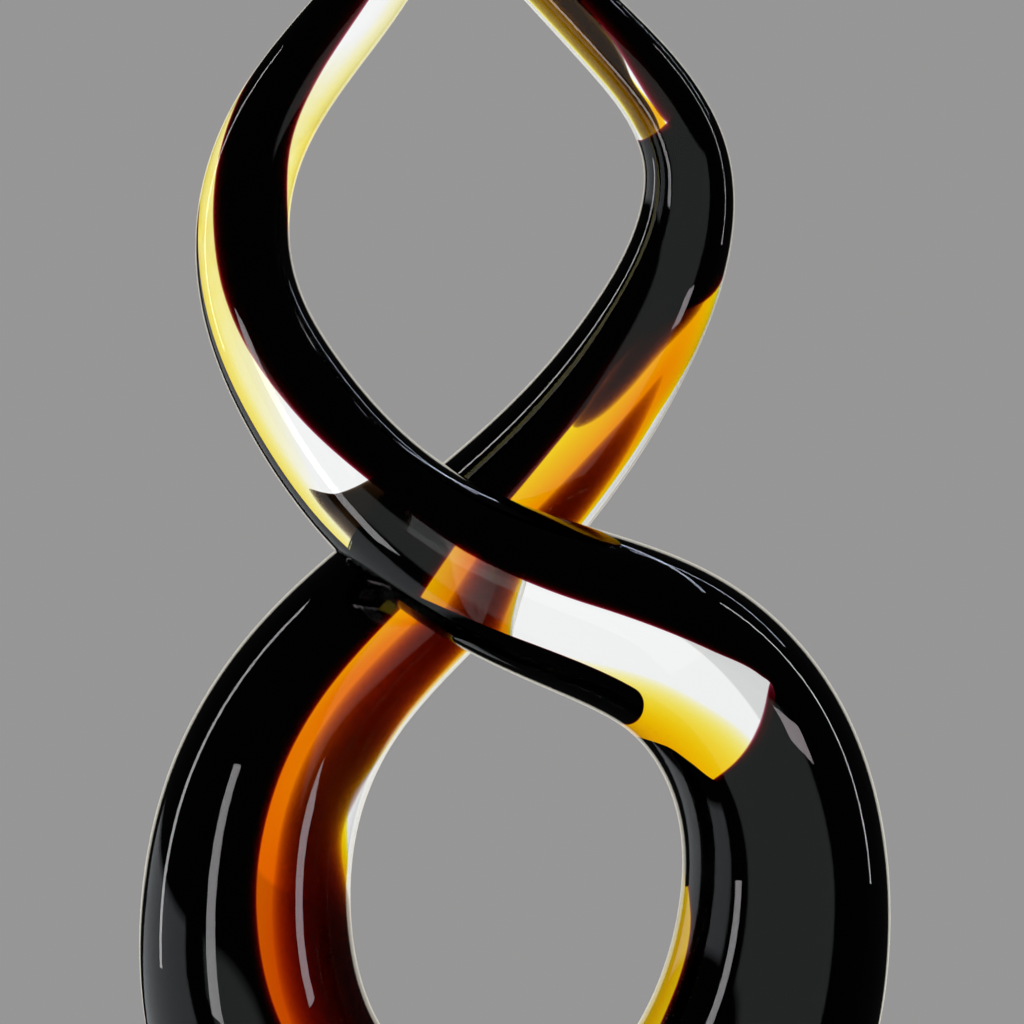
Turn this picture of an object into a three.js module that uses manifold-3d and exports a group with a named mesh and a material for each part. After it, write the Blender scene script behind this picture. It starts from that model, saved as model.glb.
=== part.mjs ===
// Standing figure-eight sculpture in solid glass. A rod of clear glass holds an amethyst-black ribbon,
// two amber bodies and a thin dark thread. It was drawn thin at the apex and thick at the foot, twisted
// one full turn, bent into a loop whose strands cross once without touching, and ground flat below.
// Millimetres, Z up. X runs to the viewer's right and Y away from the viewer. The origin is the middle
// of the underside, on the surface that the sculpture stands on.

import * as THREE from "three";
import { mergeVertices } from "three/addons/utils/BufferGeometryUtils.js";
import Module from "manifold-3d";

const wasm = await Module();
wasm.setup();

// Driving dimensions of the rod. Each station gives the middle of the rod, its diameter and the dark
// ribbon's two edges. x, y and z are measured from the middle of the ground foot. The edges are angles
// in degrees round the rod, from the side that faces the viewer towards the traveller's left hand.
// The stations run from the apex down the front strand, round the foot and up the rear strand.
const stations = [
  { x: -13.6, y: -0.5, z: 343.4, across: 16.2, darkFrom: -152, darkTo: 2 },
  { x: -24.4, y: -1.0, z: 339.4, across: 17.0, darkFrom: -142, darkTo: 7 },
  { x: -33.2, y: -2.0, z: 328.6, across: 18.4, darkFrom: -128, darkTo: 12 },
  { x: -50.2, y: -5.0, z: 306.4, across: 20.4, darkFrom: -104, darkTo: 25 },
  { x: -61.6, y: -8.5, z: 287.4, across: 21.6, darkFrom: -78, darkTo: 46 },
  { x: -66.6, y: -12.0, z: 266.0, across: 23.0, darkFrom: -60, darkTo: 88 },
  { x: -64.0, y: -14.5, z: 245.6, across: 25.0, darkFrom: -38, darkTo: 114 },
  { x: -52.8, y: -17.0, z: 222.6, across: 28.6, darkFrom: -14, darkTo: 140 },
  { x: -33.0, y: -19.0, z: 198.4, across: 33.0, darkFrom: 6, darkTo: 156 },
  { x: -9.6, y: -19.8, z: 181.6, across: 37.6, darkFrom: 11, darkTo: 161 },
  { x: 17.0, y: -18.5, z: 170.4, across: 41.4, darkFrom: 14, darkTo: 163 },
  { x: 42.4, y: -14.0, z: 158.4, across: 44.4, darkFrom: 15, darkTo: 164 },
  { x: 59.6, y: -8.0, z: 138.6, across: 47.6, darkFrom: 20, darkTo: 178 },
  { x: 67.4, y: -3.0, z: 114.0, across: 50.4, darkFrom: -22, darkTo: 196 },
  { x: 67.6, y: -1.0, z: 89.6, across: 53.6, darkFrom: -56, darkTo: 176 },
  { x: 59.8, y: 0.0, z: 59.2, across: 57.4, darkFrom: -62, darkTo: 166 },
  { x: 35.0, y: 0.0, z: 27.6, across: 59.0, darkFrom: -60, darkTo: 165 },
  { x: 0.0, y: 0.0, z: 17.5, across: 59.0, darkFrom: -52, darkTo: 166 },
  { x: -35.0, y: 0.5, z: 27.6, across: 58.4, darkFrom: -38, darkTo: 168 },
  { x: -60.0, y: 1.5, z: 57.4, across: 56.4, darkFrom: -20, darkTo: 170 },
  { x: -66.8, y: 4.0, z: 92.0, across: 53.0, darkFrom: -10, darkTo: 171 },
  { x: -62.6, y: 9.0, z: 122.6, across: 49.6, darkFrom: -7, darkTo: 172 },
  { x: -49.0, y: 15.0, z: 149.4, across: 45.8, darkFrom: -5, darkTo: 172 },
  { x: -27.0, y: 19.5, z: 172.6, across: 42.4, darkFrom: -2, darkTo: 172 },
  { x: -3.4, y: 19.5, z: 194.2, across: 38.6, darkFrom: 1, darkTo: 171 },
  { x: 17.4, y: 16.5, z: 217.0, across: 33.6, darkFrom: 3, darkTo: 168 },
  { x: 33.2, y: 12.5, z: 240.6, across: 28.8, darkFrom: -14, darkTo: 166 },
  { x: 43.2, y: 8.5, z: 265.0, across: 24.6, darkFrom: -64, darkTo: 214 },
  { x: 43.6, y: 5.5, z: 283.8, across: 21.6, darkFrom: 60, darkTo: 300 },
  { x: 36.6, y: 3.5, z: 299.0, across: 19.4, darkFrom: 176, darkTo: 350 },
  { x: 25.0, y: 2.0, z: 312.6, across: 18.2, darkFrom: 194, darkTo: 356 },
  { x: 9.0, y: 1.0, z: 329.0, across: 16.8, darkFrom: 202, darkTo: 360 },
  { x: -2.6, y: 0.0, z: 339.4, across: 16.4, darkFrom: 206, darkTo: 361 },
];

// The layers are given where the rod is as thick as this, and are drawn down with it elsewhere.
const fullAcross = 59;
const casingWall = 3.4;
const darkThickness = 7;
const amberCoreThickness = 16;
const amberVeilThickness = 4.4;
const threadThickness = 3.6;

// Clearance between neighbouring bodies of glass
const layerGap = 0.3;

// Least angle in degrees between the dark ribbon's edge and an amber body's edge
const edgeMargin = 9;

// Where the amber bodies and the thread start and stop, counted in stations from the apex. A negative
// count lies on the rear strand, just before the apex.
const amberCoreStart = 12.8;
const amberCoreStop = 27;
const amberVeilStart = -4.2;
const amberVeilStop = 12.2;
const threadStart = 6.6;
const threadStop = 10.9;

// Edges of the thread in degrees, and those of the veil where it runs beside the thread
const threadFrom = 270;
const threadTo = 307;
const besideFrom = 196;
const besideTo = 262;

// Small clear bumpers under the ground foot
const bumperAcross = 9;
const bumperHeight = 1.6;
const bumperFilm = 0.2;
const bumperSpacingX = 42;
const bumperSpacingY = 22;

// Fineness of the facets, with the most that the rod may bend and the ribbon twist from ring to ring
// in degrees
const casingSides = 20;
const boreSides = 16;
const coreSides = 10;
const darkSteps = 10;
const amberSteps = 5;
const threadSteps = 3;
const bumperSides = 16;
const ringBend = 15;
const ringTwist = 28;
const ringSpacing = 23;

const count = stations.length;
const fullTurn = 2 * Math.PI;
const middle = new THREE.CatmullRomCurve3(
  stations.map((s) => new THREE.Vector3(s.x, s.y, s.z)),
  true,
  "centripetal",
);

// Value of one quantity at a place counted in stations. A closed trip adds `perTrip` to it.
function along(quantity, place, perTrip = 0) {
  const at = (index) => {
    const trips = Math.floor(index / count);
    return quantity(stations[index - trips * count]) + trips * perTrip;
  };
  const index = Math.floor(place);
  const part = place - index;
  const [before, here, next, after] = [-1, 0, 1, 2].map((step) => at(index + step));
  const startSlope = (next - before) / 2;
  const stopSlope = (after - here) / 2;
  const square = part * part;
  const cube = square * part;
  return (
    (2 * cube - 3 * square + 1) * here +
    (cube - 2 * square + part) * startSlope +
    (3 * square - 2 * cube) * next +
    (cube - square) * stopSlope
  );
}

// One ring: the frame and the sizes of the rod at a place counted in stations
function ringAt(place) {
  const share = THREE.MathUtils.euclideanModulo(place / count, 1);
  const tangent = middle.getTangent(share);
  const toViewer = new THREE.Vector3(0, -1, 0);
  const front = toViewer.addScaledVector(tangent, -toViewer.dot(tangent)).normalize();
  const radius = along((s) => s.across, place) / 2;
  const drawn = (2 * radius) / fullAcross;
  return {
    place,
    tangent,
    front,
    drawn,
    radius,
    left: front.clone().cross(tangent),
    centre: middle.getPoint(share),
    bore: radius - casingWall * drawn,
    darkFrom: along((s) => s.darkFrom, place, 360),
    darkTo: along((s) => s.darkTo, place, 360),
  };
}

// Rings closer together where the rod bends or the ribbon twists, as places counted in stations
function ringPlaces() {
  const samples = 40 * count;
  const totals = [0];
  let last = ringAt(0);
  for (let i = 1; i <= samples; i += 1) {
    const ring = ringAt((i / samples) * count);
    const bend = THREE.MathUtils.radToDeg(ring.tangent.angleTo(last.tangent));
    const turned = (edge) => THREE.MathUtils.euclideanModulo(ring[edge] - last[edge] + 180, 360) - 180;
    const twist = Math.max(Math.abs(turned("darkFrom")), Math.abs(turned("darkTo")));
    const length = ring.centre.distanceTo(last.centre);
    totals.push(totals[i - 1] + Math.hypot(bend / ringBend, twist / ringTwist, length / ringSpacing));
    last = ring;
  }
  const rings = Math.ceil(totals[samples]);
  const places = [];
  let i = 0;
  for (let ring = 0; ring < rings; ring += 1) {
    const wanted = (totals[samples] * ring) / rings;
    while (totals[i + 1] < wanted) i += 1;
    const part = (wanted - totals[i]) / (totals[i + 1] - totals[i]);
    places.push(((i + part) / samples) * count);
  }
  return places;
}

const closedPlaces = ringPlaces();
const closedRings = closedPlaces.map(ringAt);

// The rings of a stretch of the rod, from one place to another
function stretch(start, stop) {
  const trips = [closedPlaces.map((place) => place - count), closedPlaces];
  return trips
    .flat()
    .filter((place) => place >= start && place <= stop)
    .map(ringAt);
}

// Point at an angle in degrees round a ring, at a distance from its centre
function pointOn(ring, degrees, distance) {
  const angle = THREE.MathUtils.degToRad(degrees);
  return ring.centre
    .clone()
    .addScaledVector(ring.front, Math.cos(angle) * distance)
    .addScaledVector(ring.left, Math.sin(angle) * distance);
}

function circleOn(ring, sides, distance) {
  return Array.from({ length: sides }, (_, i) => pointOn(ring, (i * 360) / sides, distance));
}

// Closed surface through sections of equal count. An open run is capped by a ladder of triangles
// between the section's first half and its second half.
function loft(sections, closed) {
  const size = sections[0].length;
  const positions = sections.flat().flatMap((p) => [p.x, p.y, p.z]);
  const indices = [];
  const spans = closed ? sections.length : sections.length - 1;
  for (let i = 0; i < spans; i += 1) {
    const a = i * size;
    const b = ((i + 1) % sections.length) * size;
    for (let j = 0; j < size; j += 1) {
      const next = (j + 1) % size;
      indices.push(a + j, a + next, b + j);
      indices.push(a + next, b + next, b + j);
    }
  }
  if (!closed) {
    const end = (sections.length - 1) * size;
    for (let j = 0; j < size / 2 - 1; j += 1) {
      const across = size - 1 - j;
      indices.push(j, across, j + 1, j + 1, across, across - 1);
      indices.push(end + j, end + j + 1, end + across, end + j + 1, end + across - 1, end + across);
    }
  }
  const geometry = new THREE.BufferGeometry();
  geometry.setAttribute("position", new THREE.Float32BufferAttribute(positions, 3));
  geometry.setIndex(indices);
  return outward(geometry);
}

// Turns the triangles round if they face inwards
function outward(geometry) {
  const corners = geometry.getAttribute("position");
  const index = geometry.getIndex().array;
  const [a, b, c] = [new THREE.Vector3(), new THREE.Vector3(), new THREE.Vector3()];
  let volume = 0;
  for (let i = 0; i < index.length; i += 3) {
    a.fromBufferAttribute(corners, index[i]);
    b.fromBufferAttribute(corners, index[i + 1]);
    c.fromBufferAttribute(corners, index[i + 2]);
    volume += a.dot(b.cross(c));
  }
  if (volume < 0) index.reverse();
  return geometry;
}

function solidOf(geometry) {
  const bare = geometry.clone();
  bare.deleteAttribute("normal");
  bare.deleteAttribute("uv");
  const merged = mergeVertices(bare, 1e-4);
  const vertProperties = new Float32Array(merged.getAttribute("position").array);
  const triVerts = new Uint32Array(merged.getIndex().array);
  return new wasm.Manifold(new wasm.Mesh({ numProp: 3, vertProperties, triVerts }));
}

function geometryOf(solid) {
  const mesh = solid.getMesh();
  const geometry = new THREE.BufferGeometry();
  geometry.setAttribute("position", new THREE.Float32BufferAttribute(mesh.vertProperties, 3));
  geometry.setIndex(new THREE.Uint32BufferAttribute(mesh.triVerts, 1));
  geometry.computeVertexNormals();
  return geometry;
}

// Everything below the ground foot, which is taken off every body that reaches it
const groundOff = (() => {
  const block = new THREE.BoxGeometry(4 * fullAcross, 2 * fullAcross, fullAcross);
  block.translate(0, 0, -fullAcross / 2);
  return solidOf(block);
})();

// Outside of the casing, and the bore that its layers fill. The bore's facets lie outside its circle.
function rodSolid(sides, distance) {
  return solidOf(loft(closedRings.map((ring) => circleOn(ring, sides, distance(ring))), true));
}

const outside = rodSolid(casingSides, (ring) => ring.radius);
const bore = rodSolid(boreSides, (ring) => ring.bore / Math.cos(Math.PI / boreSides));
const filling = rodSolid(coreSides, (ring) => ring.bore - layerGap);

// Section of a layer that lies against the bore between two angles. It is thickest in its middle and
// has a third of that at its edges. `room` is the clearance on every side of the space that is cut for
// it. That space is wider at the edges, where the ribbon twists, and runs on outwards past the bore.
function layerSection(ring, from, to, steps, thickness, room) {
  const seat = ring.bore - layerGap;
  const sideways = THREE.MathUtils.radToDeg((2 * room) / seat);
  const outer = [];
  const inner = [];
  for (let i = 0; i <= steps; i += 1) {
    const part = i / steps;
    const widen = i === 0 ? -sideways : i === steps ? sideways : 0;
    const angle = THREE.MathUtils.lerp(from, to, part) + widen;
    const depth = thickness * (1 / 3 + (2 / 3) * Math.sin(Math.PI * part));
    outer.push(pointOn(ring, angle, seat + 4 * room));
    inner.unshift(pointOn(ring, angle, seat - depth - room));
  }
  return [...outer, ...inner];
}

// Sections of a run that stops inside the glass, whose ends move out by the clearance
function withEnds(rings, room, section) {
  return rings.map((ring, i) => {
    const end = i === 0 ? -room : i === rings.length - 1 ? room : 0;
    return section(ring).map((point) => point.addScaledVector(ring.tangent, end));
  });
}

// Share of its full section that a run has at a place, from a blunt tip over `taper` stations
function tipShare(place, start, stop, taper) {
  const nearest = Math.min(place - start, stop - place);
  return 0.3 + 0.7 * THREE.MathUtils.smoothstep(nearest, 0, taper);
}

function darkRibbon(room) {
  const section = (ring) =>
    layerSection(ring, ring.darkFrom, ring.darkTo, darkSteps, darkThickness * ring.drawn, room);
  return solidOf(loft(closedRings.map(section), true));
}

// A layer that stops inside the glass at both ends. `edges` gives its two angles at a ring.
function openLayer(start, stop, taper, steps, thickness, edges, room) {
  const section = (ring) => {
    const share = tipShare(ring.place, start, stop, taper);
    const [from, to] = edges(ring);
    const half = ((to - from) / 2) * share;
    const centre = (from + to) / 2;
    return layerSection(ring, centre - half, centre + half, steps, thickness * ring.drawn * share, room);
  };
  return solidOf(loft(withEnds(stretch(start, stop), room, section), false));
}

// The angles that the dark ribbon leaves free
function freeEdges(ring) {
  return [ring.darkTo + edgeMargin, ring.darkFrom + 360 - edgeMargin];
}

function amberCore(room) {
  return openLayer(amberCoreStart, amberCoreStop, 2.5, amberSteps, amberCoreThickness, freeEdges, room);
}

// The veil draws back beside the thread, which leaves a clear window between it and the dark ribbon.
function amberVeil(room) {
  const edges = (ring) => {
    const coming = THREE.MathUtils.smoothstep(ring.place, threadStart - 2, threadStart);
    const beside = coming - THREE.MathUtils.smoothstep(ring.place, threadStop, amberVeilStop);
    const [from, to] = freeEdges(ring);
    return [THREE.MathUtils.lerp(from, besideFrom, beside), THREE.MathUtils.lerp(to, besideTo, beside)];
  };
  return openLayer(amberVeilStart, amberVeilStop, 1.5, amberSteps, amberVeilThickness, edges, room);
}

// Thin flat thread along the lower edge of the front strand
function darkThread(room) {
  const edges = () => [threadFrom, threadTo];
  return openLayer(threadStart, threadStop, 1.2, threadSteps, threadThickness, edges, room);
}

const casing = outside.subtract(bore).subtract(groundOff);

// The core is what is left of the filling. Slivers between a layer's chords and the bore stay out.
const remainder = [darkRibbon, amberCore, amberVeil, darkThread].reduce(
  (rest, layer) => rest.subtract(layer(layerGap)),
  filling.subtract(groundOff),
);
const bodies = remainder.decompose();
const core = bodies.reduce((largest, body) => (body.volume() > largest.volume() ? body : largest));

// Domed disc, flat side up against the foot
function bumperGeometry() {
  const radius = bumperAcross / 2;
  const profile = [
    new THREE.Vector2(0, -bumperHeight),
    new THREE.Vector2(radius * 0.7, -bumperHeight),
    new THREE.Vector2(radius * 0.93, -bumperHeight * 0.72),
    new THREE.Vector2(radius, -bumperHeight * 0.3),
    new THREE.Vector2(radius, 0),
    new THREE.Vector2(0, 0),
  ];
  const bumper = new THREE.LatheGeometry(profile, bumperSides);
  bumper.rotateX(Math.PI / 2);
  return bumper;
}

const clearGlass = new THREE.MeshStandardMaterial({ color: 0xeef2f0, roughness: 0.02, metalness: 0 });
const darkGlass = new THREE.MeshStandardMaterial({ color: 0x14060e, roughness: 0.03, metalness: 0 });
const amberGlass = new THREE.MeshStandardMaterial({ color: 0xc86a08, roughness: 0.03, metalness: 0 });
const paleAmber = new THREE.MeshStandardMaterial({ color: 0xe8c050, roughness: 0.03, metalness: 0 });
const softClear = new THREE.MeshStandardMaterial({ color: 0xd8dcd8, roughness: 0.35, metalness: 0 });

const sculpture = new THREE.Group();
sculpture.position.z = bumperHeight + bumperFilm;

function addPiece(name, geometry, material) {
  const piece = new THREE.Mesh(geometry, material);
  piece.name = name;
  sculpture.add(piece);
  return piece;
}

addPiece("clear_casing", geometryOf(casing), clearGlass);
addPiece("clear_core", geometryOf(core), clearGlass);
addPiece("dark_ribbon", geometryOf(darkRibbon(0).subtract(groundOff)), darkGlass);
addPiece("amber_core", geometryOf(amberCore(0)), amberGlass);
addPiece("amber_veil", geometryOf(amberVeil(0)), paleAmber);
addPiece("dark_thread", geometryOf(darkThread(0)), darkGlass);

const corners = [
  [-1, -1],
  [1, -1],
  [1, 1],
  [-1, 1],
];
corners.forEach(([sideX, sideY], i) => {
  const bumper = addPiece(`bumper_${i + 1}`, bumperGeometry(), softClear);
  bumper.position.set((sideX * bumperSpacingX) / 2, (sideY * bumperSpacingY) / 2, -bumperFilm);
});

export default sculpture;
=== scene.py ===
# Looks of a standing figure-eight loop of solid glass: the smooth clear rod, the coloured glass drawn
# out inside it, its soft bumpers, the studio and the camera. Metres, Z up, X to the viewer's right and
# Y away from the viewer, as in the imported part.

import math
from typing import NamedTuple

import bmesh
import bpy
import numpy as np
from mathutils import Matrix, Vector


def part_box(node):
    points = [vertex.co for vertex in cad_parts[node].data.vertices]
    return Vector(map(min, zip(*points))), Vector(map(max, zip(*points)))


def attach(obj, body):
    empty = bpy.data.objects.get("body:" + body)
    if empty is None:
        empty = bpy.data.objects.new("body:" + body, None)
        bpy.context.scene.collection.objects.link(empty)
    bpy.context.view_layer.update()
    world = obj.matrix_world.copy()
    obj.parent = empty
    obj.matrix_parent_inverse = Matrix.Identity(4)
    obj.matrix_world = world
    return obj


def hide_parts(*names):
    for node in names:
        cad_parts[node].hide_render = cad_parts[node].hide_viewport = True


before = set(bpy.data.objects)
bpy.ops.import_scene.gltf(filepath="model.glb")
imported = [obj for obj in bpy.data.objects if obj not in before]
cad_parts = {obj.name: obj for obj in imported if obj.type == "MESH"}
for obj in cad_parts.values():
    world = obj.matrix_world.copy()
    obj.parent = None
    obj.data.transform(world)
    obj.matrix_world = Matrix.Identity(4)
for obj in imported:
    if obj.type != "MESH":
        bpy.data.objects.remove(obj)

bl_info = {
    "name": "Glass Loop Looks",
    "version": (1, 0, 0),
    "blender": (4, 5, 0),
    "location": "View3D > Sidebar > Glass Loop",
    "description": "Smooth glass, coloured layers, bumpers and studio for a twisted loop of glass",
    "category": "Object",
}

MM = 0.001
FULL_TURN = 360.0
WHITE = (1.0, 1.0, 1.0, 1.0)

# Stations of the rod from the apex down the front strand, round the foot and up the rear strand, in
# millimetres above the ground foot: x, y, z and the rod's thickness across
STATIONS = (
    (-13.6, -0.5, 343.4, 16.2),
    (-24.4, -1.0, 339.4, 17.0),
    (-33.2, -2.0, 328.6, 18.4),
    (-50.2, -5.0, 306.4, 20.4),
    (-61.6, -8.5, 287.4, 21.6),
    (-66.6, -12.0, 266.0, 23.0),
    (-64.0, -14.5, 245.6, 25.0),
    (-52.8, -17.0, 222.6, 28.6),
    (-33.0, -19.0, 198.4, 33.0),
    (-9.6, -19.8, 181.6, 37.6),
    (17.0, -18.5, 170.4, 41.4),
    (42.4, -14.0, 158.4, 44.4),
    (59.6, -8.0, 138.6, 47.6),
    (67.4, -3.0, 114.0, 50.4),
    (67.6, -1.0, 89.6, 53.6),
    (59.8, 0.0, 59.2, 57.4),
    (35.0, 0.0, 27.6, 59.0),
    (0.0, 0.0, 17.5, 59.0),
    (-35.0, 0.5, 27.6, 58.4),
    (-60.0, 1.5, 57.4, 56.4),
    (-66.8, 4.0, 92.0, 53.0),
    (-62.6, 9.0, 122.6, 49.6),
    (-49.0, 15.0, 149.4, 45.8),
    (-27.0, 19.5, 172.6, 42.4),
    (-3.4, 19.5, 194.2, 38.6),
    (17.4, 16.5, 217.0, 33.6),
    (33.2, 12.5, 240.6, 28.8),
    (43.2, 8.5, 265.0, 24.6),
    (43.6, 5.5, 283.8, 21.6),
    (36.6, 3.5, 299.0, 19.4),
    (25.0, 2.0, 312.6, 18.2),
    (9.0, 1.0, 329.0, 16.8),
    (-2.6, 0.0, 339.4, 16.4),
)
STATION_COUNT = len(STATIONS)

# Edges of the dark ribbon, which runs all the way round: a place counted in stations, and both edges in
# degrees round the rod, from the viewer's side towards the left hand of someone who travels along it
DARK_ROWS = (
    (-1, -154, 1),
    (0, -152, 2),
    (1, -142, 7),
    (2, -128, 12),
    (3, -104, 25),
    (4, -66, 46),
    (5, -41, 88),
    (6, -28, 114),
    (7, -11, 140),
    (8, 8, 154),
    (9, 8, 160),
    (10, 8, 158),
    (11, 17, 154),
    (11.4, 28, 154),
    (11.55, 30, 155),
    (11.7, 18, 157),
    (11.88, -7, 160),
    (11.98, -30, 162),
    (12.1, -54, 165),
    (12.3, -76, 170),
    (12.6, -84, 180),
    (13, -86, 190),
    (14, -68, 176),
    (15, -66, 166),
    (16, -60, 165),
    (17, -52, 166),
    (18, -38, 168),
    (19, -20, 170),
    (20, -10, 171),
    (21, -7, 172),
    (22, -5, 172),
    (23, -2, 172),
    (24, 1, 171),
    (25, 6, 168),
    (26, -4, 170),
    (26.2, -16, 173),
    (26.4, -36, 178),
    (26.55, -62, 184),
    (26.7, -82, 196),
    (27, -80, 226),
    (28, 60, 310),
    (28.3, 104, 348),
    (28.5, 170, 366),
    (28.7, 189, 375),
    (29, 190, 379),
    (29.5, 192, 374),
    (30, 194, 363),
    (31, 202, 360),
    (32, 206, 361),
    (33, 208, 362),
    (34, 218, 367),
)

# Edges of the layers that end inside the glass, given in the same way. The last number of a row is the
# share of the layer's named thickness.

# The pale amber of the front strand and the apex
VEIL_ROWS = (
    (-1.0, 26, 160, 0.5),
    (1.0, 32, 160, 0.5),
    (2.0, 38, 166, 0.55),
    (3.0, 44, 190, 0.6),
    (4.0, 55, 262, 0.7),
    (5.0, 100, 296, 0.8),
    (5.7, 146, 308, 0.85),
    (6.2, 172, 316, 0.9),
    (6.8, 184, 318, 0.95),
    (7.6, 194, 317, 1.0),
    (8.4, 203, 315, 1.0),
    (9.0, 206, 319, 1.0),
    (10.0, 206, 326, 1.2),
    (10.6, 206, 336, 1.5),
    (11.2, 206, 346, 1.9),
    (11.7, 208, 357, 2.1),
    (12.1, 214, 362, 2.2),
    (12.5, 230, 350, 2.0),
    (13.0, 250, 300, 1.5),
    (13.4, 262, 281, 2.6),
    (14.0, 262, 283, 3.2),
    (15.5, 262, 284, 3.2),
)
# The dark thread along the lower edge of the front strand
THREAD_ROWS = (
    (4.8, 264, 292, 1.0),
    (7.0, 264, 293, 1.0),
    (8.0, 264, 295, 1.0),
    (8.5, 264, 303, 1.0),
    (9.0, 264, 316, 1.0),
    (9.6, 264, 322, 1.0),
    (10.85, 264, 322, 1.0),
)
# A dark streak past the thread's end, at the inner edge of the lower loop
INNER_ROWS = (
    (11.1, 262, 282, 1.0),
    (11.4, 262, 299, 1.2),
    (11.7, 262, 310, 1.4),
    (11.98, 262, 321, 1.6),
    (12.2, 262, 337, 1.6),
    (12.8, 262, 342, 1.6),
    (13.2, 266, 306, 1.4),
    (13.5, 268, 286, 1.2),
)
# The thin rim of the ribbon where it closes the front window
RIM_ROWS = (
    (11.5, 24, 38, 0.3),
    (11.7, 5, 28, 0.34),
    (11.88, -21, 6, 0.36),
    (11.98, -43, -14, 0.36),
    (12.1, -67, -38, 0.36),
    (12.25, -82, -58, 0.36),
)
# A smoky lobe that rounds the lower end of the white window
LOBE_ROWS = (
    (7.62, 311, 317, 1.4),
    (7.71, 311, 324, 2.4),
    (7.79, 311, 336, 2.8),
    (7.85, 311, 354, 3.0),
    (7.9, 311, 374, 3.0),
    (8.05, 311, 386, 3.2),
    (8.4, 311, 386, 3.2),
)
# The deep amber body of the rear strand
CORE_ROWS = (
    (15.6, 215, 300, 0.8),
    (17.0, 208, 318, 1.0),
    (18.0, 208, 336, 1.05),
    (19.0, 210, 368, 1.05),
    (20.2, 212, 378, 1.05),
    (20.5, 228, 378, 1.05),
    (20.8, 254, 378, 1.05),
    (21.2, 272, 378, 1.0),
    (21.6, 256, 376, 0.95),
    (22.1, 224, 374, 0.95),
    (22.8, 214, 374, 0.9),
    (24.0, 212, 374, 0.8),
    (25.0, 215, 374, 0.7),
    (26.0, 226, 366, 0.65),
    (26.5, 246, 346, 0.65),
    (26.9, 262, 330, 0.65),
)
# The russet streak over the deep amber
SMOKE_ROWS = (
    (15.5, 262, 300, 1.0),
    (17.0, 255, 318, 1.2),
    (18.0, 250, 328, 1.45),
    (19.0, 245, 337, 1.45),
    (19.8, 248, 341, 1.45),
    (20.1, 262, 342, 1.4),
    (20.4, 280, 342, 1.35),
    (20.8, 293, 343, 1.35),
    (21.3, 288, 344, 1.3),
    (21.8, 280, 344, 1.3),
    (22.4, 284, 344, 1.2),
    (23.0, 288, 344, 1.4),
    (23.8, 292, 342, 1.5),
    (24.5, 295, 340, 1.6),
    (25.2, 300, 334, 1.2),
    (25.8, 306, 326, 0.6),
)
# The russet edge of its upper end
EDGE_ROWS = (
    (25.0, 354, 374, 1.8),
    (25.5, 342, 374, 3.2),
    (26.0, 329, 368, 4.2),
    (26.4, 308, 350, 4.4),
    (26.7, 290, 322, 3.4),
)
# The amber tip at the upper right, the smoky streak over it and the brown one further inside
TOP_CORE_ROWS = (
    (28.2, 18, 60, 1.0),
    (28.5, 15, 72, 1.0),
    (28.8, 16, 76, 1.1),
    (29.0, 24, 77, 1.1),
    (29.3, 31, 77, 1.1),
    (29.6, 22, 77, 1.1),
    (30.0, 3, 77, 1.1),
    (32.6, 0, 78, 1.1),
)
TOP_SMOKE_ROWS = (
    (28.2, 30, 60, 1.2),
    (28.6, 30, 72, 1.6),
    (29.0, 30, 72, 1.6),
    (29.4, 29, 72, 1.7),
    (29.8, 10, 72, 1.7),
    (30.2, -2, 72, 1.7),
    (32.6, 0, 72, 1.7),
)
TOP_BROWN_ROWS = (
    (28.5, 28, 38, 2.6),
    (29.0, 27, 44, 3.2),
    (29.4, 25, 46, 3.2),
    (29.8, 6, 42, 3.2),
    (30.4, -8, 36, 3.2),
    (32.6, -6, 36, 3.2),
)

# Most layers lie right under the casing. The outer side of these two is at a share of the rod's
# radius, given at places counted in stations.
CORE_SEAT = (
    (23.5, 0.64),
    (24.5, 0.6),
    (25.4, 0.6),
    (26.4, 0.68),
)
BROWN_SEAT = ((0, 0.78),)

# Steps of the meshes along the whole loop, round the rod and round the ribbon's section, how sharply
# that section thins towards its edges, and the distance within which two points are one
LOOP_STEPS = 560
ROD_SIDES = 80
RIBBON_SIDES = 64
RIBBON_WEDGE = 1.3
TINY = 1e-6

# The layers have their named thickness where the rod is this thick, and are drawn down with it
FULL_ACROSS = 59 * MM
# The foot is ground flat with a small bevel, and the ribbon ends just above it. A ground face is one
# whose normal points further down than this.
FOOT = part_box("clear_casing")[0].z
FOOT_BEVEL = 0.5 * MM
RIBBON_LIFT = 0.3 * MM
GROUND_NORMAL = -0.999

CLEAR_IOR = 1.5
CLEAR_COLOUR = (0.914, 0.93, 0.924)
CLEAR_DENSITY = 22.0
# Coloured glass is fused into clear glass, so light passes its surface unbent
FUSED_IOR = 1.0

# Section of a bumper from its middle below to its middle above, as shares of its radius and height
BUMPER_OUTLINE = (
    (0.0, 0.0),
    (0.70, 0.0),
    (0.93, 0.28),
    (1.0, 0.7),
    (0.99, 1.0),
    (0.0, 1.0),
)
BUMPER_SIDES = 40

CAMERA_DISTANCE = 1.2
CAMERA_HEIGHT = 196.8 * MM
FRAME_WIDTH = 256 * MM
LOOP_MIDDLE = (0.0, 0.0, 180 * MM)
LOWER_RIGHT = (60 * MM, -20 * MM, 120 * MM)
LIGHT_BOUNCES = 32
GLOSSY_BOUNCES = 8
# Level at which the world lights matt surfaces
SOFT_LEVEL = 0.55

FLOOR_RADIUS = 6.0
FLOOR_SIDES = 96
FLOOR_COLOUR = (0.5, 0.49, 0.49, 1.0)
# Distances from the loop's middle between which the matt floor fades into the backdrop
FADE_DISTANCES = (0.22, 0.6)
# Through the glass the floor shows at a lower level up to the first of these distances, and at full
# white from the second
WHITE_DISTANCES = (0.88, 0.92)
NEAR_LEVEL = 0.75

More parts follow.
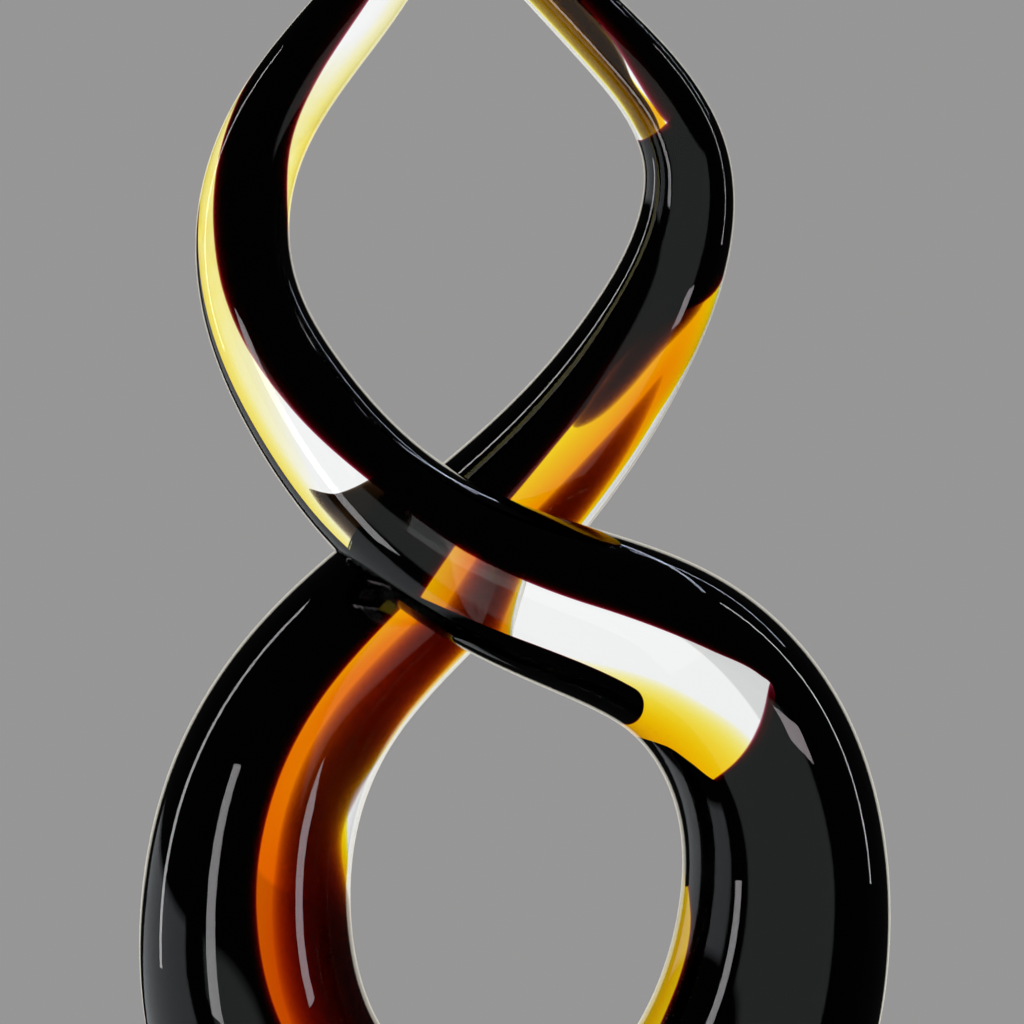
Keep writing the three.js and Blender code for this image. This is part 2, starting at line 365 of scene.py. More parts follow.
# What the glass reflects of the room: azimuth to the right of the camera in degrees, height as the
# sine of the elevation, and colour. A lit wall at the left, and the lit table and wall in front.
ROOM_BANDS = (
    (-140, -65, -0.55, 0.16, (0.6, 0.63, 0.66)),
    (-46, 54, -0.78, 0.16, (0.4, 0.44, 0.42)),
)
ROOM_DARK = (0.012, 0.012, 0.012, 1.0)
# Width of the bands' soft ends, in radians and as a sine
SOFT_AZIMUTH = 0.05
SOFT_HEIGHT = 0.04
# Straight behind the glass the room is lit, between these shares of a direction away from the camera
BEHIND_SHARES = (0.86, 0.9)
BEHIND_COLOUR = (1.0, 0.96, 0.84)

# Strips of light: name, both ends as azimuth and elevation in degrees and distance in metres, width in
# metres, brightness and colour
STRIPS = (
    ("left_front", (-46, -23.5, 0.293), (-46, 20, 0.286), 0.04, 4.5, (1.0, 0.98, 1.0)),
    ("left_side", (-101, -8, 1.2), (-103, 49, 1.2), 0.07, 5.0, (1.0, 1.0, 1.0)),
    ("right_front", (56.5, -9, 0.268), (56.5, -2.0, 0.266), 0.05, 4.5, (1.0, 0.88, 0.93)),
    ("right_side", (104, -6, 1.2), (101, 46, 1.2), 0.035, 7.0, (1.0, 1.0, 1.0)),
    ("back_above", (104, 50, 1.3), (166, 40, 1.3), 0.03, 5.0, (0.75, 0.8, 1.0)),
    ("back_side", (119, 28, 1.2), (146, 51, 1.2), 0.03, 5.0, (0.75, 0.8, 1.0)),
)


class Glass(NamedTuple):
    """Coloured glass.

    colour and thickness name the settings with its colour and with the thickness of its layers. density
    is how strongly it absorbs, per metre. slot names the record's material slot and is not used.
    """

    colour: str
    thickness: str
    density: float
    slot: str


GLASSES = {
    "amethyst_black_glass": Glass("dark_colour", "thread_thickness", 11000.0, "amethyst_black_glass"),
    "amber_glass": Glass("amber_colour", "core_thickness", 2000.0, "amber_glass"),
    "smoky_glass": Glass("smoke_colour", "streak_thickness", 1900.0, "amethyst_black_glass"),
    "russet_glass": Glass("russet_colour", "streak_thickness", 1900.0, "amethyst_black_glass"),
    "pale_amber_glass": Glass("veil_colour", "veil_thickness", 800.0, "pale_amber_glass"),
}


class Layer(NamedTuple):
    """Layer of coloured glass that ends inside the rod.

    rows are its edges, tips the lengths of its rounded ends in millimetres, grid its steps along and
    round, and wedge how sharply its section thins towards its edges. glass is a name in GLASSES. nodes
    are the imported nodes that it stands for, and seat a table like CORE_SEAT, or none under the casing.
    """

    name: str
    rows: tuple
    tips: tuple
    grid: tuple
    wedge: float
    glass: str
    nodes: tuple = ()
    seat: tuple = ()


DARK_LAYERS = (
    Layer("smooth_thread", THREAD_ROWS, (60, 7), (200, 24), 0.5, "amethyst_black_glass", ("dark_thread",)),
    Layer("inner_streak", INNER_ROWS, (10, 20), (160, 24), 0.7, "amethyst_black_glass"),
    Layer("thin_rim", RIM_ROWS, (6, 6), (120, 24), 2.6, "amethyst_black_glass"),
)
AMBER_LAYERS = (
    Layer(
        "smooth_amber_core", CORE_ROWS, (60, 8), (400, 40), 0.8, "amber_glass", ("amber_core",), CORE_SEAT
    ),
    Layer("smoky_streak", SMOKE_ROWS, (40, 30), (400, 24), 1.8, "russet_glass"),
    Layer("smoky_edge", EDGE_ROWS, (10, 10), (160, 24), 2.0, "russet_glass"),
    Layer("smoky_lobe", LOBE_ROWS, (5, 8), (160, 24), 1.0, "smoky_glass"),
    Layer("top_amber_core", TOP_CORE_ROWS, (12, 20), (160, 32), 0.5, "amber_glass"),
    Layer("top_smoky_streak", TOP_SMOKE_ROWS, (12, 20), (160, 24), 1.0, "smoky_glass"),
    Layer("top_brown_streak", TOP_BROWN_ROWS, (6, 20), (160, 24), 1.0, "smoky_glass", (), BROWN_SEAT),
    Layer("smooth_amber_veil", VEIL_ROWS, (30, 12), (500, 32), 1.9, "pale_amber_glass", ("amber_veil",)),
)


class GlassLoopSettings(bpy.types.PropertyGroup):
    """Sizes and colours of the glass loop that a user would change"""

    casing_wall: bpy.props.FloatProperty(
        name="Casing wall",
        description="Clear glass over the coloured layers where the rod is thickest",
        default=3.4 * MM,
        unit="LENGTH",
    )
    dark_thickness: bpy.props.FloatProperty(
        name="Dark ribbon thickness",
        description="Thickness of the dark ribbon in its middle",
        default=7 * MM,
        unit="LENGTH",
    )
    core_thickness: bpy.props.FloatProperty(
        name="Deep amber thickness",
        description="Thickness of the deep amber bodies in their middle",
        default=16 * MM,
        unit="LENGTH",
    )
    veil_thickness: bpy.props.FloatProperty(
        name="Amber veil thickness",
        description="Thickness of the pale amber body in its middle",
        default=4.4 * MM,
        unit="LENGTH",
    )
    thread_thickness: bpy.props.FloatProperty(
        name="Dark thread thickness",
        description="Thickness of the thin dark thread and of the dark streaks in their middle",
        default=3.6 * MM,
        unit="LENGTH",
    )
    streak_thickness: bpy.props.FloatProperty(
        name="Smoky streak thickness",
        description="Thickness of the smoky and russet streaks in their middle",
        default=2.2 * MM,
        unit="LENGTH",
    )
    smoke_colour: bpy.props.FloatVectorProperty(
        name="Smoky glass colour",
        description="Colour that thin smoky glass lets through",
        default=(0.27, 0.15, 0.0),
        subtype="COLOR",
        min=0,
        max=1,
    )
    russet_colour: bpy.props.FloatVectorProperty(
        name="Russet glass colour",
        description="Colour that thin red-brown glass lets through",
        default=(0.42, 0.1, 0.0),
        subtype="COLOR",
        min=0,
        max=1,
    )
    dark_colour: bpy.props.FloatVectorProperty(
        name="Dark glass colour",
        description="Colour that thin dark glass lets through",
        default=(0.62, 0.08, 0.25),
        subtype="COLOR",
        min=0,
        max=1,
    )
    amber_colour: bpy.props.FloatVectorProperty(
        name="Deep amber colour",
        description="Colour that thin deep amber glass lets through",
        default=(0.996, 0.94, 0.0),
        subtype="COLOR",
        min=0,
        max=1,
    )
    veil_colour: bpy.props.FloatVectorProperty(
        name="Pale amber colour",
        description="Colour that thin pale amber glass lets through",
        default=(0.997, 0.91, 0.0),
        subtype="COLOR",
        min=0,
        max=1,
    )
    backdrop: bpy.props.FloatVectorProperty(
        name="Backdrop colour",
        description="Plain colour behind the glass",
        default=(0.31, 0.305, 0.305),
        subtype="COLOR",
        min=0,
        max=1,
    )


def second_slopes(knots, values):
    """Second derivatives, at each station, of the smooth closed curve through the values."""
    steps = np.diff(knots)
    rises = np.diff(np.vstack([values, values[:1]]), axis=0) / steps[:, None]
    matrix = np.zeros((len(values), len(values)))
    for i in range(len(values)):
        matrix[i, i - 1] += steps[i - 1]
        matrix[i, i] += 2 * (steps[i - 1] + steps[i])
        matrix[i, (i + 1) % len(values)] += steps[i]
    return np.linalg.solve(matrix, 6 * (rises - np.roll(rises, 1, axis=0)))


def on_spline(knots, values, places):
    """Value and slope of the smooth closed curve through the values, at distances along it."""
    slopes = second_slopes(knots, values)
    part = np.mod(places, knots[-1])
    i = np.clip(np.searchsorted(knots, part, side="right") - 1, 0, len(values) - 1)
    j = (i + 1) % len(values)
    step = (knots[i + 1] - knots[i])[:, None]
    a = (knots[i + 1] - part)[:, None] / step
    b = 1 - a
    cubic = ((a**3 - a) * slopes[i] + (b**3 - b) * slopes[j]) * step**2 / 6
    value = a * values[i] + b * values[j] + cubic
    bend = ((3 * b**2 - 1) * slopes[j] - (3 * a**2 - 1) * slopes[i]) * step / 6
    return value, (values[j] - values[i]) / step + bend


def on_rows(rows, column, stations):
    """Smooth value between the rows of a table whose first column counts stations."""
    knots, values = (np.array([row[i] for row in rows], float) for i in (0, column))
    slopes = np.gradient(values, knots)
    i = np.clip(np.searchsorted(knots, stations, side="right") - 1, 0, len(knots) - 2)
    step = knots[i + 1] - knots[i]
    part = np.clip((stations - knots[i]) / step, 0, 1)
    return (
        (2 * part**3 - 3 * part**2 + 1) * values[i]
        + (part**3 - 2 * part**2 + part) * slopes[i] * step
        + (3 * part**2 - 2 * part**3) * values[i + 1]
        + (part**3 - part**2) * slopes[i + 1] * step
    )


TABLE = np.array(STATIONS, float)
MIDDLES = TABLE[:, :3] * MM + np.array([0, 0, FOOT])
KNOTS = np.concatenate(
    [[0], np.cumsum(np.linalg.norm(np.roll(MIDDLES, -1, axis=0) - MIDDLES, axis=1))]
)
COUNTS = np.arange(STATION_COUNT + 1)


def reach(station):
    """Distance along the rod of a place counted in stations. Below zero lies before the apex."""
    trips = math.floor(station / STATION_COUNT)
    return float(np.interp(station - trips * STATION_COUNT, COUNTS, KNOTS)) + trips * KNOTS[-1]


def station_at(places):
    """Places counted in stations, from distances along the rod."""
    trips = np.floor(places / KNOTS[-1])
    return np.interp(places - trips * KNOTS[-1], KNOTS, COUNTS) + trips * STATION_COUNT


def rings_at(places):
    """The rod's middle, radius and directions at distances along it."""
    middle, slope = on_spline(KNOTS, MIDDLES, places)
    across, _ = on_spline(KNOTS, TABLE[:, 3:4] * MM, places)
    tangent = slope / np.linalg.norm(slope, axis=1)[:, None]
    to_viewer = np.array([0.0, -1.0, 0.0])
    front = to_viewer - tangent * (tangent @ to_viewer)[:, None]
    front /= np.linalg.norm(front, axis=1)[:, None]
    return {
        "middle": middle,
        "front": front,
        "left": np.cross(front, tangent),
        "radius": across[:, 0] / 2,
        "drawn": across[:, 0] / FULL_ACROSS,
        "stations": station_at(places),
    }


def whole_loop():
    """Rings all the way round the loop, the last on the first."""
    return rings_at(np.linspace(0, KNOTS[-1], LOOP_STEPS + 1))


def rolled_mesh(rings, angles, distances):
    """Closed smooth mesh: a grid rolled round the rod, with an angle and distance for each vertex."""
    radians = np.radians(angles)[:, :, None]
    ways = np.cos(radians) * rings["front"][:, None] + np.sin(radians) * rings["left"][:, None]
    points = rings["middle"][:, None] + ways * distances[:, :, None]
    along, around = points.shape[0] - 1, points.shape[1] - 1
    bm = bmesh.new()
    bmesh.ops.create_grid(bm, x_segments=along, y_segments=around, size=1)
    for vert in bm.verts:
        i = round((vert.co.x + 1) / 2 * along)
        j = round((vert.co.y + 1) / 2 * around)
        vert.co = points[i, j]
    bmesh.ops.remove_doubles(bm, verts=bm.verts, dist=TINY)
    bmesh.ops.recalc_face_normals(bm, faces=bm.faces)
    for face in bm.faces:
        face.smooth = True
    return bm


def grind_flat(bm, height, bevel):
    """Cuts the underside off level, closes it and takes off its sharp edge."""
    cut = bmesh.ops.bisect_plane(
        bm,
        geom=[*bm.verts, *bm.edges, *bm.faces],
        plane_co=(0, 0, height),
        plane_no=(0, 0, -1),
        clear_outer=True,
    )
    rim = [item for item in cut["geom_cut"] if isinstance(item, bmesh.types.BMEdge)]
    bmesh.ops.holes_fill(bm, edges=rim, sides=0)
    if bevel > 0:
        sharp = dict.fromkeys(edge for face in bm.faces if len(face.verts) > 4 for edge in face.edges)
        bmesh.ops.bevel(
            bm,
            geom=list(sharp),
            offset=bevel,
            segments=2,
            profile=0.5,
            affect="EDGES",
            material=-1,
            clamp_overlap=True,
        )
    bmesh.ops.triangulate(bm, faces=[face for face in bm.faces if len(face.verts) > 4])
    for face in bm.faces:
        level = all(abs(vert.co.z - height) < TINY for vert in face.verts)
        if level and face.normal.z < GROUND_NORMAL:
            face.smooth = False


def finished(bm, name, material, node_names):
    """Makes the mesh an object that rides on the part and stands for its nodes."""
    mesh = bpy.data.meshes.new(name)
    bm.to_mesh(mesh)
    bm.free()
    piece = bpy.data.objects.new(name, mesh)
    bpy.context.scene.collection.objects.link(piece)
    mesh.materials.append(material)
    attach(piece, "root")
    if node_names:
        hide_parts(*node_names)


def under_casing(rings, settings):
    """Distance from the rod's middle to the inside of its casing."""
    return rings["radius"] - settings.casing_wall * rings["drawn"]


def layer_mesh(rings, edges, depth, seat, sides, wedge):
    """Coloured layer inside a seat, between two edges. A higher wedge thins it out further in."""
    turn = np.linspace(0, 2 * math.pi, sides + 1)[None, :]
    part = (1 - np.cos(turn)) / 2
    bulge = np.abs(np.sin(turn)) ** wedge
    inner = np.where(turn > math.pi, bulge, 0.0)
    start, stop = (edge[:, None] for edge in edges)
    angles = start + (stop - start) * part
    return rolled_mesh(rings, angles, seat[:, None] - depth[:, None] * inner)


def open_layer(layer, settings):
    """Mesh of a layer that ends inside the glass at both ends of its table, in rounded tips."""
    steps, sides = layer.grid
    first_tip, last_tip = (length * MM for length in layer.tips)
    first, last = reach(layer.rows[0][0]), reach(layer.rows[-1][0])
    turn = np.linspace(0, math.pi, steps + 1)
    places = first + (last - first) * (1 - np.cos(turn)) / 2
    rings = rings_at(places)
    near = np.minimum((places - first) / first_tip, (last - places) / last_tip)
    share = np.sqrt(np.clip(1 - (1 - np.clip(near, 0, 1)) ** 2, 0, 1))
    low, high, extra = (on_rows(layer.rows, column, rings["stations"]) for column in (1, 2, 3))
    middle, half = (low + high) / 2, (high - low) / 2 * share
    thickness = getattr(settings, GLASSES[layer.glass].thickness)
    depth = thickness * extra * rings["drawn"] * share
    seat = under_casing(rings, settings)
    if layer.seat:
        stations, shares = zip(*layer.seat)
        seat = np.interp(rings["stations"], stations, shares) * rings["radius"]
    return layer_mesh(rings, (middle - half, middle + half), depth, seat, sides, layer.wedge)


def add_layers(layers, materials, settings):
    """Makes each layer a piece, in its glass among the materials."""
    for layer in layers:
        bm = open_layer(layer, settings)
        finished(bm, layer.name, materials[layer.glass], layer.nodes)


def new_material(name):
    """Material with an empty node tree and its output."""
    material = bpy.data.materials.new(name)
    material.use_nodes = True
    tree = material.node_tree
    tree.nodes.clear()
    output = tree.nodes.new("ShaderNodeOutputMaterial")
    return material, tree, output


def add_node(tree, kind, settings=None, **inputs):
    """Node with its settings and its constant inputs."""
    node = tree.nodes.new(kind)
    for key, value in (settings or {}).items():
        setattr(node, key, value)
    for key, value in inputs.items():
        node.inputs[key.replace("_", " ")].default_value = value
    return node


def solid_glass(name, ior, colour, density):
    """Glass that bends light by its index and absorbs it inside. Gives the surface's node too."""
    material, tree, output = new_material(name)
    surface = add_node(
        tree,
        "ShaderNodeBsdfPrincipled",
        Base_Color=WHITE,
        Roughness=0.0,
        IOR=ior,
        Transmission_Weight=1.0,
    )
    body = add_node(tree, "ShaderNodeVolumeAbsorption", Color=(*colour, 1), Density=density)
    tree.links.new(surface.outputs["BSDF"], output.inputs["Surface"])
    tree.links.new(body.outputs["Volume"], output.inputs["Volume"])
    return material, surface


def clear_glass():
    """Fire-polished clear glass with faint waves in its surface."""
    material, surface = solid_glass("clear_glass", CLEAR_IOR, CLEAR_COLOUR, CLEAR_DENSITY)
    tree = material.node_tree
    place = add_node(tree, "ShaderNodeTexCoord")
    waves = add_node(tree, "ShaderNodeTexNoise", Scale=28.0, Detail=1.5, Roughness=0.4)
    bump = add_node(tree, "ShaderNodeBump", Strength=0.25, Distance=0.4 * MM)
    tree.links.new(place.outputs["Object"], waves.inputs["Vector"])
    tree.links.new(waves.outputs["Fac"], bump.inputs["Height"])
    tree.links.new(bump.outputs["Normal"], surface.inputs["Normal"])
    return material


def coloured_glass(name, settings):
    """One of the coloured glasses, fused into the clear glass."""
    glass = GLASSES[name]
    material, _ = solid_glass(name, FUSED_IOR, getattr(settings, glass.colour), glass.density)
    return material


def soft_plastic():
    """Soft clear plastic, slightly cloudy, with the fine grain of its mould."""
    material, tree, output = new_material("soft_clear_plastic")
    body = add_node(
        tree,
        "ShaderNodeBsdfPrincipled",
        Base_Color=(0.86, 0.88, 0.86, 1),
        IOR=1.48,
        Transmission_Weight=0.7,
    )
    place = add_node(tree, "ShaderNodeTexCoord")
    grain = add_node(tree, "ShaderNodeTexNoise", Scale=900.0, Detail=2.0)
    rubbed = add_node(tree, "ShaderNodeMapRange", To_Min=0.26, To_Max=0.44)
    bump = add_node(tree, "ShaderNodeBump", Strength=0.3, Distance=0.1 * MM)
    tree.links.new(place.outputs["Object"], grain.inputs["Vector"])
    tree.links.new(grain.outputs["Fac"], rubbed.inputs["Value"])
    tree.links.new(grain.outputs["Fac"], bump.inputs["Height"])
    tree.links.new(rubbed.outputs["Result"], body.inputs["Roughness"])
    tree.links.new(bump.outputs["Normal"], body.inputs["Normal"])
    tree.links.new(body.outputs["BSDF"], output.inputs["Surface"])
    return material


class GLASSLOOP_OT_clear_rod(bpy.types.Operator):
    """Solid rod of clear glass, bent into the loop and ground flat below"""

    bl_idname = "glassloop.clear_rod"
    bl_label = "Clear rod"

    def execute(self, context):
        rings = whole_loop()
        angles = np.tile(np.linspace(0, FULL_TURN, ROD_SIDES + 1), (LOOP_STEPS + 1, 1))
        distances = np.tile(rings["radius"][:, None], (1, ROD_SIDES + 1))
        bm = rolled_mesh(rings, angles, distances)
        grind_flat(bm, FOOT, FOOT_BEVEL)
        finished(bm, "glass_loop", clear_glass(), ["clear_casing", "clear_core"])
        return {"FINISHED"}


class GLASSLOOP_OT_dark_glass(bpy.types.Operator):
    """Dark ribbon that runs all the way round, the thin thread and the dark ends of the front window"""

    bl_idname = "glassloop.dark_glass"
    bl_label = "Dark glass"

    def execute(self, context):
        settings = context.scene.glass_loop
        glass = coloured_glass("amethyst_black_glass", settings)
        rings = whole_loop()
        edges = [on_rows(DARK_ROWS, column, rings["stations"]) for column in (1, 2)]
        depth = settings.dark_thickness * rings["drawn"]
        seat = under_casing(rings, settings)
        bm = layer_mesh(rings, edges, depth, seat, RIBBON_SIDES, RIBBON_WEDGE)
        grind_flat(bm, FOOT + RIBBON_LIFT, 0)
        finished(bm, "smooth_ribbon", glass, ["dark_ribbon"])
        add_layers(DARK_LAYERS, {"amethyst_black_glass": glass}, settings)
        return {"FINISHED"}


class GLASSLOOP_OT_amber_glass(bpy.types.Operator):
    """Deep and pale amber bodies, and the smoky and russet streaks that shade them"""

    bl_idname = "glassloop.amber_glass"
    bl_label = "Amber glass"

    def execute(self, context):
        settings = context.scene.glass_loop
        names = ("amber_glass", "smoky_glass", "russet_glass", "pale_amber_glass")
        materials = {name: coloured_glass(name, settings) for name in names}
        add_layers(AMBER_LAYERS, materials, settings)
        return {"FINISHED"}


class GLASSLOOP_OT_bumpers(bpy.types.Operator):
    """Small clear bumpers under the ground foot"""

    bl_idname = "glassloop.bumpers"
    bl_label = "Bumpers"

    def execute(self, context):
        material = soft_plastic()
        for number in range(1, 5):
            low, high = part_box(f"bumper_{number}")
            middle, radius = (low + high) / 2, (high.x - low.x) / 2
            height = high.z - low.z
            bm = bmesh.new()
            verts = [bm.verts.new((radius * x, 0, height * z)) for x, z in BUMPER_OUTLINE]
            edges = [bm.edges.new(pair) for pair in zip(verts, verts[1:])]
            bmesh.ops.spin(
                bm,
                geom=[*verts, *edges],
                cent=(0, 0, 0),
                axis=(0, 0, 1),
                angle=2 * math.pi,
                steps=BUMPER_SIDES,
                use_merge=True,
            )
            bmesh.ops.remove_doubles(bm, verts=bm.verts, dist=TINY)
            bmesh.ops.translate(bm, verts=bm.verts, vec=(middle.x, middle.y, low.z))
            bmesh.ops.recalc_face_normals(bm, faces=bm.faces)
            name = f"soft_bumper_{number}"
            finished(bm, name, material, [f"bumper_{number}"])
        return {"FINISHED"}


def mixed_colour(tree, share, colour, other):
    """Colour mixed with another by a share."""
    mix = tree.nodes.new("ShaderNodeMix")
    mix.data_type = "RGBA"
    tree.links.new(share, mix.inputs[0])
    tree.links.new(colour, mix.inputs[6])
    mix.inputs[7].default_value = (*other, 1)
    return mix.outputs[2]


def mixed_shader(tree, share, shader, other):
    """Node that mixes the shaders of two nodes by a share."""
    mix = tree.nodes.new("ShaderNodeMixShader")
    tree.links.new(share, mix.inputs[0])
    tree.links.new(shader.outputs[0], mix.inputs[1])
    tree.links.new(other.outputs[0], mix.inputs[2])
    return mix


def bounded(tree, value, low, high, edge):
    """1 where the value lies between the bounds, with soft edges, else 0."""
    rise = add_node(tree, "ShaderNodeMapRange", From_Min=low, From_Max=low + edge)
    fall = add_node(tree, "ShaderNodeMapRange", From_Min=high - edge, From_Max=high, To_Min=1, To_Max=0)
    both = add_node(tree, "ShaderNodeMath", {"operation": "MULTIPLY"})
    for node, socket in ((rise, 0), (fall, 1)):
        tree.links.new(value, node.inputs["Value"])
        tree.links.new(node.outputs["Result"], both.inputs[socket])
    return both.outputs["Value"]


def room_colour(tree, direction):
    """Colour that the glass reflects from a direction, a unit vector from the loop's middle."""
    axes = add_node(tree, "ShaderNodeSeparateXYZ")
    tree.links.new(direction, axes.inputs["Vector"])
    forward = add_node(tree, "ShaderNodeMath", {"operation": "MULTIPLY"})
    forward.inputs[1].default_value = -1
    tree.links.new(axes.outputs["Y"], forward.inputs[0])
    azimuth = add_node(tree, "ShaderNodeMath", {"operation": "ARCTAN2"})
    tree.links.new(axes.outputs["X"], azimuth.inputs[0])
    tree.links.new(forward.outputs["Value"], azimuth.inputs[1])
    colour = add_node(tree, "ShaderNodeRGB").outputs["Color"]
    colour.default_value = ROOM_DARK
    for start, stop, low, high, shade in ROOM_BANDS:
        start, stop = math.radians(start), math.radians(stop)
        band = bounded(tree, azimuth.outputs["Value"], start, stop, SOFT_AZIMUTH)
        level = bounded(tree, axes.outputs["Z"], low, high, SOFT_HEIGHT)
        lit = add_node(tree, "ShaderNodeMath", {"operation": "MULTIPLY"})
        tree.links.new(band, lit.inputs[0])
        tree.links.new(level, lit.inputs[1])
        colour = mixed_colour(tree, lit.outputs["Value"], colour, shade)
    low, high = BEHIND_SHARES
    behind = add_node(tree, "ShaderNodeMapRange", From_Min=low, From_Max=high)
    tree.links.new(axes.outputs["Y"], behind.inputs["Value"])
    return mixed_colour(tree, behind.outputs["Result"], colour, BEHIND_COLOUR)


def studio_world(settings):
    """Plain backdrop for the camera. Glass shows it lit from behind, and reflects a dark room."""
    world = bpy.data.worlds.new("studio_world")
    bpy.context.scene.world = world
    world.use_nodes = True
    tree = world.node_tree
    tree.nodes.clear()
    output = tree.nodes.new("ShaderNodeOutputWorld")
    rays = add_node(tree, "ShaderNodeLightPath")
    place = add_node(tree, "ShaderNodeTexCoord")
    room = add_node(tree, "ShaderNodeBackground", Strength=1.0)
    tree.links.new(room_colour(tree, place.outputs["Generated"]), room.inputs["Color"])
    plain = add_node(tree, "ShaderNodeBackground", Color=(*settings.backdrop, 1), Strength=1.0)
    soft = add_node(tree, "ShaderNodeBackground", Color=WHITE, Strength=SOFT_LEVEL)
    white = add_node(tree, "ShaderNodeBackground", Color=WHITE, Strength=1.0)
    glossy = mixed_shader(tree, rays.outputs["Is Glossy Ray"], soft, room)
    through = mixed_shader(tree, rays.outputs["Is Transmission Ray"], glossy, white)
    seen = mixed_shader(tree, rays.outputs["Is Camera Ray"], through, plain)
    tree.links.new(seen.outputs[0], output.inputs["Surface"])


def floor_material(settings):
    """Pale matt floor near the glass that fades into the backdrop."""
    material, tree, output = new_material("pale_floor")
    rays = add_node(tree, "ShaderNodeLightPath")
    place = add_node(tree, "ShaderNodeTexCoord")
    length = add_node(tree, "ShaderNodeVectorMath", {"operation": "LENGTH"})
    tree.links.new(place.outputs["Object"], length.inputs[0])
    low, high = FADE_DISTANCES
    smooth = {"interpolation_type": "SMOOTHSTEP"}
    fade = add_node(tree, "ShaderNodeMapRange", smooth, From_Min=low, From_Max=high)
    tree.links.new(length.outputs["Value"], fade.inputs["Value"])
    low, high = WHITE_DISTANCES
    far = add_node(tree, "ShaderNodeMapRange", From_Min=low, From_Max=high, To_Min=NEAR_LEVEL, To_Max=1.0)
    tree.links.new(length.outputs["Value"], far.inputs["Value"])
    away = add_node(tree, "ShaderNodeVectorMath", {"operation": "SUBTRACT"})
    away.inputs[1].default_value = LOWER_RIGHT
    direction = add_node(tree, "ShaderNodeVectorMath", {"operation": "NORMALIZE"})
    tree.links.new(place.outputs["Object"], away.inputs[0])
    tree.links.new(away.outputs["Vector"], direction.inputs[0])
    matt = add_node(tree, "ShaderNodeBsdfDiffuse", Color=FLOOR_COLOUR)
    plain = add_node(tree, "ShaderNodeEmission", Color=(*settings.backdrop, 1), Strength=1.0)
    room = add_node(tree, "ShaderNodeEmission", Strength=1.0)
    white = add_node(tree, "ShaderNodeEmission", Color=WHITE)
    tree.links.new(room_colour(tree, direction.outputs["Vector"]), room.inputs["Color"])
    tree.links.new(far.outputs["Result"], white.inputs["Strength"])
    faded = mixed_shader(tree, fade.outputs["Result"], matt, plain)
    glossy = mixed_shader(tree, rays.outputs["Is Glossy Ray"], faded, room)
    through = mixed_shader(tree, rays.outputs["Is Transmission Ray"], glossy, white)
    tree.links.new(through.outputs[0], output.inputs["Surface"])
    return material


def studio_floor(settings):
    """Round floor, wide enough to pass for the backdrop."""
    bm = bmesh.new()
    bmesh.ops.create_circle(bm, cap_ends=True, segments=FLOOR_SIDES, radius=FLOOR_RADIUS)
    mesh = bpy.data.meshes.new("pale_floor")
    bm.to_mesh(mesh)
    bm.free()
    floor = bpy.data.objects.new("pale_floor", mesh)
    bpy.context.scene.collection.objects.link(floor)
    mesh.materials.append(floor_material(settings))


def around(azimuth, elevation, distance):
    """Point seen from the glass at an angle to the right of the camera and above the horizon."""
    a, e = math.radians(azimuth), math.radians(elevation)
    way = Vector((math.sin(a) * math.cos(e), -math.cos(a) * math.cos(e), math.sin(e)))
    return Vector(LOOP_MIDDLE) + way * distance


def strip_lamp(name, start, stop, width, radiance, colour):
    """Flat strip of light between two points, facing the glass. Its brightness is a surface's."""
    light = bpy.data.lights.new(name, "AREA")
    light.shape = "RECTANGLE"
    length = (stop - start).length
    light.size, light.size_y = length, width
    light.energy = radiance * math.pi * length * width
    light.color = colour
    lamp = bpy.data.objects.new(name, light)
    bpy.context.scene.collection.objects.link(lamp)
    back = ((start + stop) / 2 - Vector(LOOP_MIDDLE)).normalized()
    along = (stop - start).normalized()
    across = back.cross(along).normalized()
    back = along.cross(across)
    turn = Matrix((along, across, back)).transposed()
    lamp.matrix_world = Matrix.Translation((start + stop) / 2) @ turn.to_4x4()
    lamp.visible_camera = False
    lamp.visible_transmission = False
    lamp.visible_diffuse = False


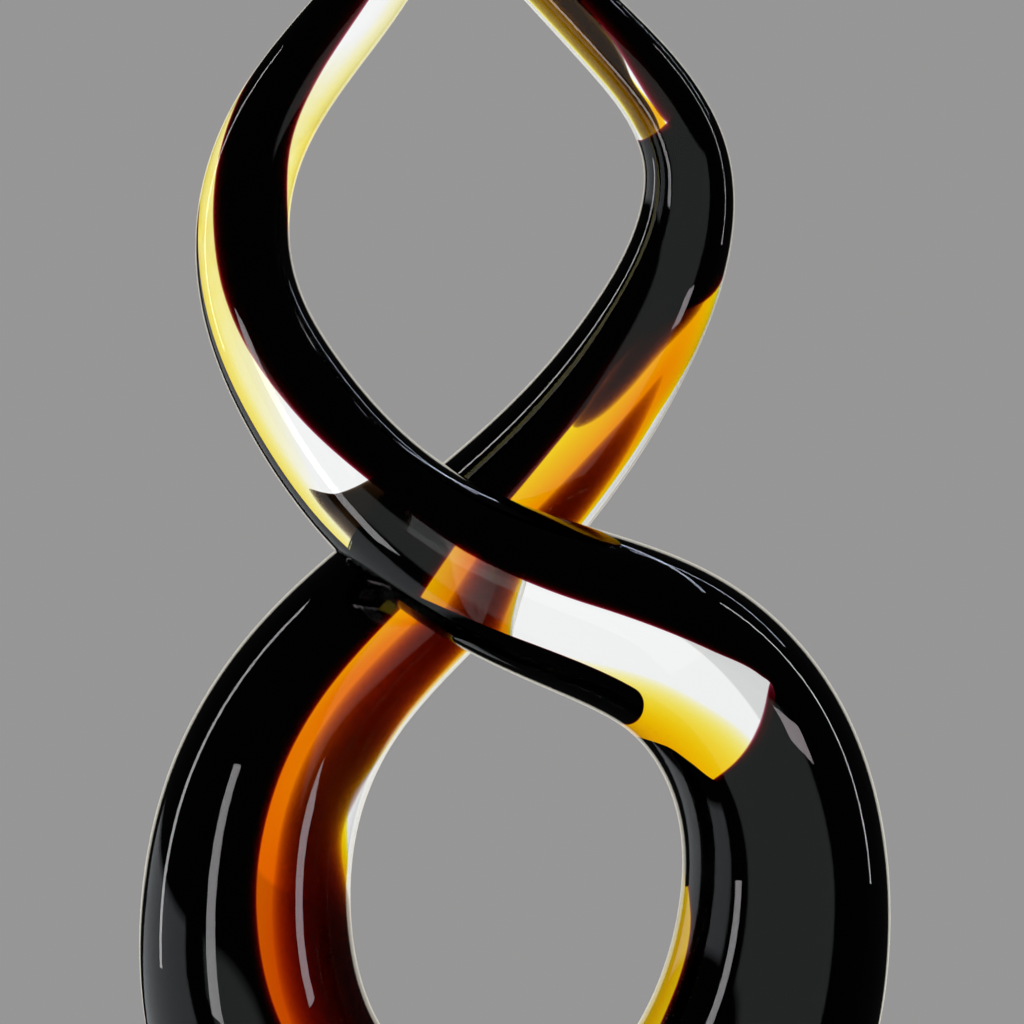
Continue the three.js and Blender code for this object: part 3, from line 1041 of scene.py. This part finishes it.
def studio_camera():
    """Level camera in front of the loop, which sees the frame's width at the loop's distance."""
    camera = bpy.data.objects.new("studio_camera", bpy.data.cameras.new("studio_camera"))
    camera.data.lens = camera.data.sensor_width * CAMERA_DISTANCE / FRAME_WIDTH
    camera.data.clip_start = 10 * MM
    camera.location = (0, -CAMERA_DISTANCE, CAMERA_HEIGHT)
    camera.rotation_euler = (math.pi / 2, 0, 0)
    bpy.context.scene.collection.objects.link(camera)
    bpy.context.scene.camera = camera


class GLASSLOOP_OT_studio(bpy.types.Operator):
    """Pale floor, plain soft light and the camera"""

    bl_idname = "glassloop.studio"
    bl_label = "Studio"

    def execute(self, context):
        scene = context.scene
        scene.view_settings.view_transform = "Standard"
        scene.cycles.max_bounces = LIGHT_BOUNCES
        scene.cycles.transmission_bounces = LIGHT_BOUNCES
        scene.cycles.glossy_bounces = GLOSSY_BOUNCES
        scene.cycles.transparent_max_bounces = LIGHT_BOUNCES
        studio_world(scene.glass_loop)
        studio_floor(scene.glass_loop)
        for name, start, stop, width, radiance, colour in STRIPS:
            strip_lamp(name, around(*start), around(*stop), width, radiance, colour)
        studio_camera()
        return {"FINISHED"}


class GLASSLOOP_PT_pieces(bpy.types.Panel):
    """Lists the sizes, the colours and the pieces"""

    bl_idname = "GLASSLOOP_PT_pieces"
    bl_label = "Glass Loop"
    bl_space_type = "VIEW_3D"
    bl_region_type = "UI"
    bl_category = "Glass Loop"

    def draw(self, context):
        for name in GlassLoopSettings.__annotations__:
            self.layout.prop(context.scene.glass_loop, name)
        for operator in OPERATORS:
            self.layout.operator(operator.bl_idname)


OPERATORS = (
    GLASSLOOP_OT_clear_rod,
    GLASSLOOP_OT_dark_glass,
    GLASSLOOP_OT_amber_glass,
    GLASSLOOP_OT_bumpers,
    GLASSLOOP_OT_studio,
)
CLASSES = (GlassLoopSettings, *OPERATORS, GLASSLOOP_PT_pieces)


def register():
    for item in CLASSES:
        bpy.utils.register_class(item)
    bpy.types.Scene.glass_loop = bpy.props.PointerProperty(type=GlassLoopSettings)


def unregister():
    del bpy.types.Scene.glass_loop
    for item in reversed(CLASSES):
        bpy.utils.unregister_class(item)


def main():
    register()
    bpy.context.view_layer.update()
    bpy.ops.glassloop.studio()
    bpy.ops.glassloop.clear_rod()
    bpy.ops.glassloop.dark_glass()
    bpy.ops.glassloop.amber_glass()
    bpy.ops.glassloop.bumpers()


if __name__ == "__main__":
    main()
